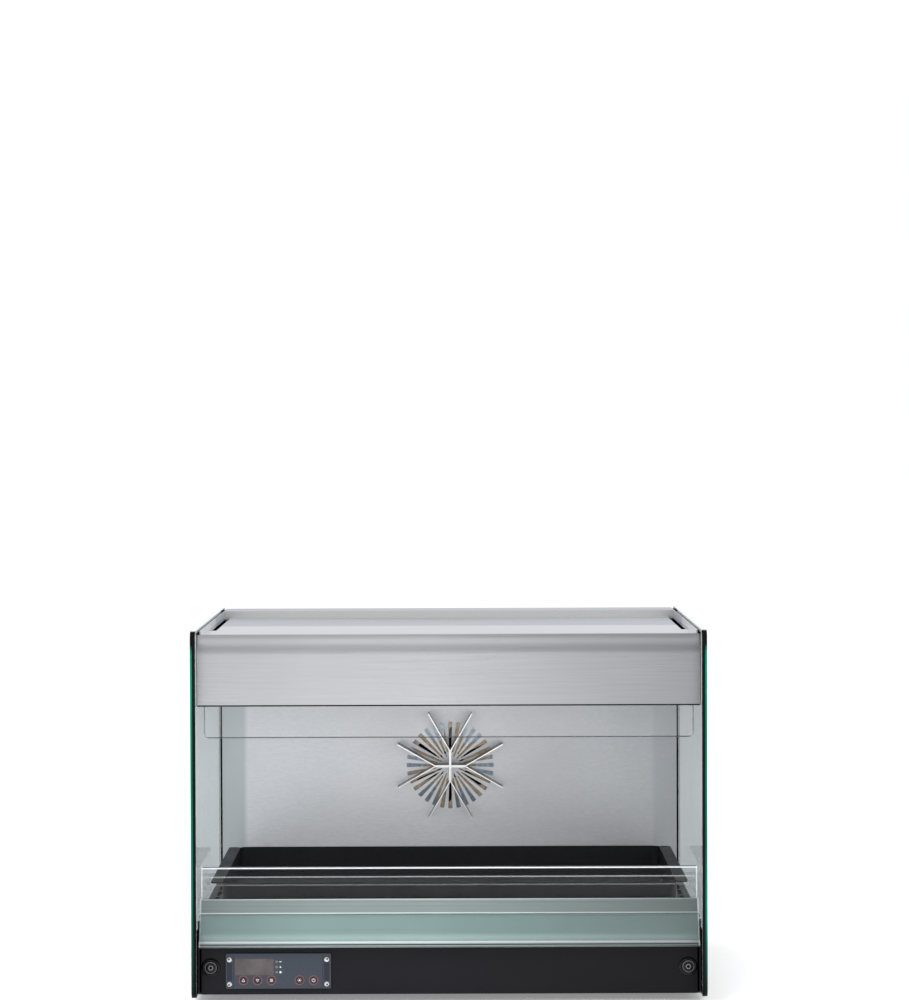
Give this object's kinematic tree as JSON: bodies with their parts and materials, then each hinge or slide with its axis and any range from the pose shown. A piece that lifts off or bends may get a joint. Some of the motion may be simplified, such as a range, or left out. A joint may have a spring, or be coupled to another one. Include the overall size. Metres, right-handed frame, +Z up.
{
  "type": "hot food display case",
  "caption": "Countertop heated display case: glass sides, stainless hood and back wall with fan guard, clear valance and riser, ticket rail, black base with control panel.",
  "frame": {"origin": "centre of the case's bounding box in plan, at the underside of the feet", "axes": "+X to the viewer's right, +Y to the rear, +Z up; the open front faces -Y"},
  "size_m": [0.6, 0.566, 0.436],
  "materials": {
    "rubber_black": "moulded, matt",
    "zinc_steel": "bright plated",
    "base_black": "satin black powder coat",
    "black_plastic": "fine moulded texture",
    "black_steel": "black oxide",
    "deck_black": "satin black",
    "side_glass": "clear toughened with green polished edge",
    "channel_black": "black anodised",
    "gasket_rubber": "smooth matt",
    "stainless": "horizontal brushed grain",
    "galvanised": "dull zinc",
    "insulation": "mineral wool",
    "led_aluminium": "satin anodised",
    "led_diffuser": "translucent diffuser",
    "clear_sheet": "clear with polished edges",
    "guard_steel": "bright rolled stainless strip",
    "impeller_aluminium": "pressed",
    "motor_steel": "laminated, dark",
    "element_steel": "heat-darkened sheath",
    "brass_parts": "plain",
    "ceramic_white": "unglazed",
    "board_green": "solder mask",
    "panel_grey": "fine-textured overlay",
    "display_smoke": "smoked, glossy",
    "ring_copper": "copper coloured",
    "button_grey": "smooth matt",
    "rail_green": "grey-green extrusion",
    "ticket_clear": "clear extruded flap",
    "tray_black": "non-stick coating"
  },
  "bodies": {
    "case": {"feet": "rubber_black", "foot_screws": "zinc_steel", "base_pan": "base_black", "base_fascia": "base_black", "fascia_cup_washers": "black_plastic", "fascia_screws": "black_steel", "deck_plate": "deck_black", "glass_left": "side_glass", "glass_right": "side_glass", "glass_channels": "channel_black", "top_gaskets": "gasket_rubber", "hood_front": "stainless", "hood_seal": "gasket_rubber", "top_tray": "stainless", "ceiling_liner": "stainless", "ceiling_duct": "galvanised", "insulation_top": "insulation", "led_housing": "led_aluminium", "led_lens": "led_diffuser", "valance": "clear_sheet", "valance_studs": "zinc_steel", "back_panel": "stainless", "back_panel_gaskets": "gasket_rubber", "fan_guard": "guard_steel", "fan_motor": "motor_steel", "motor_plate": "galvanised", "motor_screws": "zinc_steel", "heating_element": "element_steel", "rear_duct": "galvanised", "insulation_rear": "insulation", "rear_posts": "galvanised", "rear_cover": "stainless", "rear_cover_screws": "zinc_steel", "temperature_probe": "guard_steel", "safety_thermostat": "ceramic_white", "mains_inlet": "black_plastic", "inlet_pins": "brass_parts", "terminal_block": "ceramic_white", "controller_body": "black_plastic", "controller_board": "board_green", "panel_plate": "panel_grey", "panel_screws": "zinc_steel", "display_window": "display_smoke", "button_rings": "ring_copper", "indicator_leds": "led_diffuser", "ticket_rail": "rail_green", "ticket_cover": "ticket_clear", "rail_end_pins": "black_steel", "riser_channel": "channel_black"},
    "fan": {"fan_impeller": "impeller_aluminium", "fan_shaft": "zinc_steel", "fan_nut": "brass_parts"},
    "tray": {"food_tray": "tray_black"},
    "riser": {"clear_riser": "clear_sheet"},
    "key_up": {"button_up": "button_grey"},
    "key_down": {"button_down": "button_grey"},
    "key_set": {"button_set": "button_grey"},
    "key_light": {"button_light": "button_grey"},
    "key_power": {"button_power": "button_grey"}
  },
  "joints": [
    {"name": "fan_spin", "type": "hinge", "parent": "case", "child": "fan", "pos_m": [0.001, 0.187, 0.2375], "axis": [0, 1, 0], "continuous": true},
    {"name": "tray_tilt", "type": "hinge", "parent": "case", "child": "tray", "pos_m": [0, 0.147, 0.099], "axis": [-1, 0, 0], "range_deg": [0, 12]},
    {"name": "riser_lift", "type": "slide", "parent": "case", "child": "riser", "axis": [0, 0, 1], "range_m": [0, 0.06]},
    {"name": "up_press", "type": "slide", "parent": "case", "child": "key_up", "axis": [0, 1, 0], "range_m": [0, 0.0005], "stiffness_N_per_m": 500, "springref_m": -0.0005},
    {"name": "down_press", "type": "slide", "parent": "case", "child": "key_down", "axis": [0, 1, 0], "range_m": [0, 0.0005], "stiffness_N_per_m": 500, "springref_m": -0.0005},
    {"name": "set_press", "type": "slide", "parent": "case", "child": "key_set", "axis": [0, 1, 0], "range_m": [0, 0.0005], "stiffness_N_per_m": 500, "springref_m": -0.0005},
    {"name": "light_press", "type": "slide", "parent": "case", "child": "key_light", "axis": [0, 1, 0], "range_m": [0, 0.0005], "stiffness_N_per_m": 500, "springref_m": -0.0005},
    {"name": "power_press", "type": "slide", "parent": "case", "child": "key_power", "axis": [0, 1, 0], "range_m": [0, 0.0005], "stiffness_N_per_m": 500, "springref_m": -0.0005}
  ]
}
